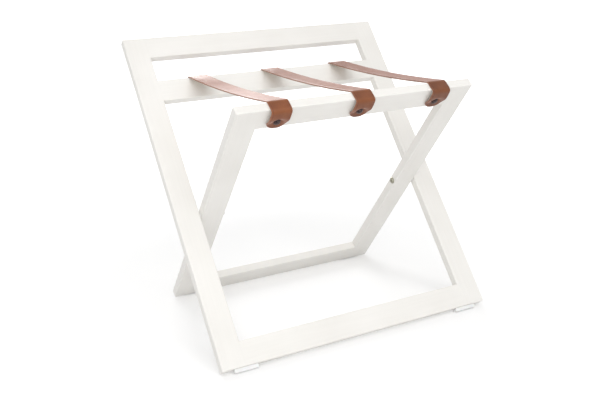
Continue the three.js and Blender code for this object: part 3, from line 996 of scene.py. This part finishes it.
def bolt(node, side, finish):
    """Button-head bolt with a hexagon socket, its head on the leg's inner side."""
    low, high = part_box(node)
    crown, tip = (low.x, high.x) if side > 0 else (high.x, low.x)
    axis = -side * X_AXIS
    base = Vector((crown, PIVOT.y, PIVOT.z)) - axis * BOLT_HEAD_HEIGHT
    length = abs(tip - crown) - BOLT_HEAD_HEIGHT
    head = dome(BOLT_HEAD_RADIUS, BOLT_HEAD_EDGE, BOLT_HEAD_HEIGHT - BOLT_HEAD_EDGE, SOCKET_LAND)
    brim = head[-1][2]
    profile = [
        (round_ring, 0, -length),
        (round_ring, BOLT_RADIUS, -length),
        (round_ring, BOLT_RADIUS, 0),
        (round_ring, BOLT_HEAD_RADIUS, 0),
        *head,
        (hexagon_ring, SOCKET_RADIUS, brim),
        (hexagon_ring, SOCKET_RADIUS, BOLT_HEAD_HEIGHT - SOCKET_DEPTH),
        (round_ring, 0, BOLT_HEAD_HEIGHT - SOCKET_DEPTH),
    ]
    mesh = turned_piece(node + "_turned", profile, base, axis)
    mesh.materials.append(finish)
    piece(node + "_turned", mesh, "back_frame", node)


# Stage

def camera():
    """The photo's camera."""
    azimuth, elevation = CAMERA_AZIMUTH, CAMERA_ELEVATION
    back = Vector((
        math.sin(azimuth) * math.cos(elevation),
        -math.cos(azimuth) * math.cos(elevation),
        math.sin(elevation),
    ))
    level = Vector((math.cos(azimuth), math.sin(azimuth), 0))
    upright = back.cross(level)
    right = math.cos(CAMERA_ROLL) * level + math.sin(CAMERA_ROLL) * upright
    up = math.cos(CAMERA_ROLL) * upright - math.sin(CAMERA_ROLL) * level
    turn = Matrix((right, up, back)).transposed()
    lens = bpy.data.cameras.new("photo_camera")
    lens.sensor_fit = "HORIZONTAL"
    lens.sensor_width = SENSOR_WIDTH
    lens.lens = CAMERA_LENS
    obj = bpy.data.objects.new("photo_camera", lens)
    obj.matrix_world = Matrix.Translation(PIVOT + turn @ Vector(CAMERA_OFFSET)) @ turn.to_4x4()
    bpy.context.scene.collection.objects.link(obj)
    bpy.context.scene.camera = obj


def softbox(name, place, target, size, radiance, gloss_only=False):
    """Rectangular light of a given brightness, unseen by the camera, that may show in gloss alone."""
    light = bpy.data.lights.new(name, "AREA")
    light.shape = "RECTANGLE"
    light.size, light.size_y = size
    light.energy = radiance * math.pi * size[0] * size[1]
    obj = bpy.data.objects.new(name, light)
    obj.location = place
    obj.rotation_euler = (Vector(target) - Vector(place)).to_track_quat("-Z", "Y").to_euler()
    obj.visible_camera = False
    obj.visible_diffuse = not gloss_only
    bpy.context.scene.collection.objects.link(obj)


def seen_directly(nodes):
    """1 on camera, glossy and transmission rays, 0 on the rays that light the object."""
    path = nodes.add("ShaderNodeLightPath")
    total = path.outputs["Is Camera Ray"]
    for name in ("Is Glossy Ray", "Is Transmission Ray"):
        total = nodes.math("MAXIMUM", total, path.outputs[name])
    return total


def world(ambient):
    """White surroundings that light the object at the ambient level."""
    scene_world = bpy.data.worlds.new("studio")
    scene_world.use_nodes = True
    nodes = Nodes(scene_world.node_tree)
    background = nodes.tree.nodes["Background"]
    background.inputs["Color"].default_value = (1, 1, 1, 1)
    level = nodes.spread(seen_directly(nodes), 0.0, 1.0, ambient, 1.0)
    nodes.link(level, background.inputs["Strength"])
    bpy.context.scene.world = scene_world


def floor(half_size, tone, near_lift, far_lift):
    """Plain white floor: a soft shadow near the object, and as white as the background elsewhere."""
    mesh = bpy.data.meshes.new("floor")
    signs = ((-1, -1), (1, -1), (1, 1), (-1, 1))
    mesh.from_pydata([(half_size * x, half_size * y, 0) for x, y in signs], [], [(0, 1, 2, 3)])
    material = bpy.data.materials.new("floor_white")
    material.use_nodes = True
    nodes = Nodes(material.node_tree)
    nodes.tree.nodes.clear()
    output = nodes.add("ShaderNodeOutputMaterial")
    paint = nodes.add("ShaderNodeBsdfDiffuse")
    paint.inputs["Color"].default_value = (tone, tone, tone, 1)
    glow = nodes.add("ShaderNodeEmission")
    place = nodes.add("ShaderNodeTexCoord")
    away = nodes.add("ShaderNodeVectorMath", operation="LENGTH")
    nodes.link(place.outputs["Object"], away.inputs[0])
    lift = nodes.spread(away.outputs["Value"], LIFT_START, LIFT_END, near_lift, far_lift)
    nodes.link(nodes.math("MULTIPLY", seen_directly(nodes), lift), glow.inputs["Strength"])
    both = nodes.add("ShaderNodeAddShader")
    nodes.link(paint.outputs["BSDF"], both.inputs[0])
    nodes.link(glow.outputs["Emission"], both.inputs[1])
    nodes.link(both.outputs["Shader"], output.inputs["Surface"])
    mesh.materials.append(material)
    obj = bpy.data.objects.new("floor", mesh)
    bpy.context.scene.collection.objects.link(obj)


# The object

camera()
bpy.context.scene.view_settings.view_transform = "Standard"

BACK_UPRIGHTS = ("back_left_stile", "back_right_stile")
BACK_RAILS = ("back_top_rail", "back_strap_rail", "back_bottom_rail")
FRONT_UPRIGHTS = ("front_left_leg", "front_right_leg")
FRONT_RAILS = ("front_top_rail", "front_bottom_rail")

rail_paint = painted_wood("white_paint_rail", lean=0, along_rail=True)
back_paint = painted_wood("white_paint_stile", lean=FRAME_LEAN, along_rail=False)
front_paint = painted_wood("white_paint_leg", lean=-FRAME_LEAN, along_rail=False)
back_axes = (BACK_UP, BACK_OUT)
front_axes = (FRONT_UP, FRONT_OUT)
painted_frame("back_frame", *back_axes, BACK_UPRIGHTS, BACK_RAILS, rail_paint, back_paint)
painted_frame("front_frame", *front_axes, FRONT_UPRIGHTS, FRONT_RAILS, rail_paint, front_paint)

(_, back_top), (_, half_timber) = local_extent("back_strap_rail", back_axes)
(_, front_top), _ = local_extent("front_top_rail", front_axes)
route = StrapRoute(back_top, front_top, half_timber)
folded = FoldedStrap(route, back_top, front_top)
strap_shape = StrapMesh(route).build()
fold_weights = [folded.weight(s, height) for s, _, height, _, _ in strap_shape.rows]
leather = (leather_top(), leather_flesh())
bronze = metal("antique_bronze", (0.032, 0.021, 0.022), (0.125, 0.092, 0.09), 0.34, 260.0)
plain_steel = metal("plain_steel", (0.26, 0.25, 0.19), (0.52, 0.50, 0.42), 0.4, 300.0)
brass = metal("turned_brass", (0.42, 0.29, 0.11), (0.62, 0.46, 0.2), 0.35, 200.0)
white_nylon = nylon()
plain_beech = beech()
for side in ("left", "middle", "right"):
    strap(side, strap_shape, fold_weights, leather)
    stud(side + "_rear_stud", "back_frame", BACK_UP, -BACK_OUT, bronze)
    stud(side + "_front_stud", "front_frame", FRONT_UP, FRONT_OUT, bronze)
bolt("left_pivot_bolt", -1, plain_steel)
bolt("right_pivot_bolt", 1, plain_steel)

FINISHES = {
    "bronze": bronze,
    "plain_steel": plain_steel,
    "brass": brass,
    "nylon": white_nylon,
    "beech": plain_beech,
}
for part in frame["record"]["subparts"]:
    if part["material_slot"] in FINISHES:
        mesh = NODES[part["node"]].data
        mesh.materials.clear()
        mesh.materials.append(FINISHES[part["material_slot"]])

world(ambient=0.57)
softbox("key", (-0.4, -1.9, 2.4), FRAME_MIDDLE, size=(3.0, 2.4), radiance=1.75)
softbox("fill", (-1.6, -2.2, 0.45), FRAME_MIDDLE, size=(1.6, 1.0), radiance=2.0)
softbox("back", (0.2, 2.7, 2.5), STRAP_MIDDLE, size=(2.5, 2.8), radiance=1.8)
softbox("sheen", (0.2, 2.9, 2.2), STRAP_MIDDLE, size=(2.6, 2.2), radiance=4.9, gloss_only=True)
floor(half_size=20.0, tone=0.84, near_lift=0.2, far_lift=0.75)
